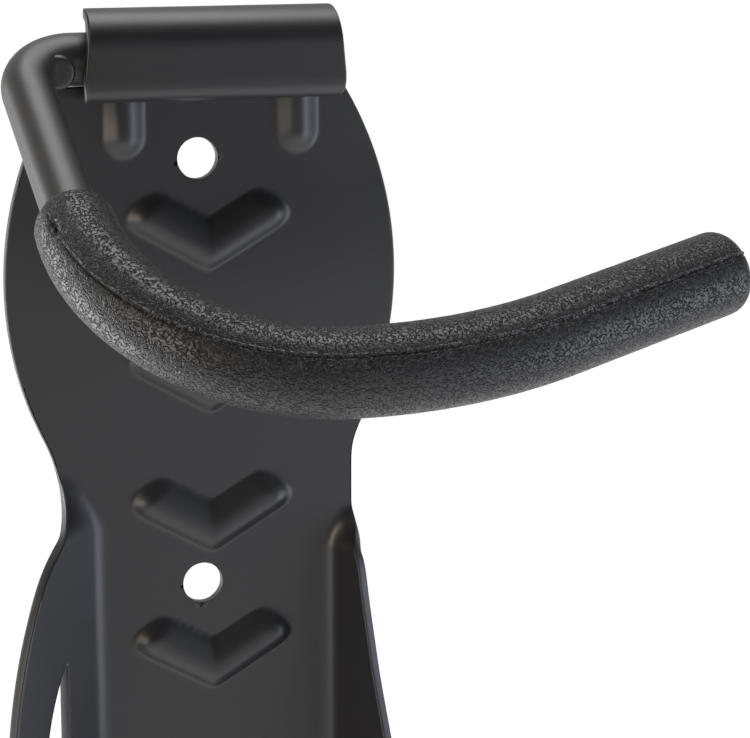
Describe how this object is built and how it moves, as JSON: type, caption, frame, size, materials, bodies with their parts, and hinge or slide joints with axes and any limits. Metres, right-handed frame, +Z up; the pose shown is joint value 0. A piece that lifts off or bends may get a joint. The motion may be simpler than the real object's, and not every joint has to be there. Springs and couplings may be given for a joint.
{
  "type": "bicycle wall rack",
  "caption": "Vertical bicycle wall hanger: pressed steel plate with a rolled head, wheel trough and ribs, and a bent rod hook in a soft rubber sleeve.",
  "frame": {"origin": "centre of the top screw hole, on the wall face of the plate", "axes": "+Z up the wall, +Y into the wall, -Y towards the rider, +X towards the hook's open side"},
  "size_m": [0.1566, 0.1069, 0.2977],
  "materials": {
    "black_powder_coat": "satin black powder coat",
    "black_rod_coat": "smooth satin black coat",
    "sleeve_rubber": "moulded leather-grain black rubber"
  },
  "bodies": {
    "root": {"wall_plate": "black_powder_coat", "hook_rod": "black_rod_coat", "hook_sleeve": "sleeve_rubber"}
  },
  "joints": []
}
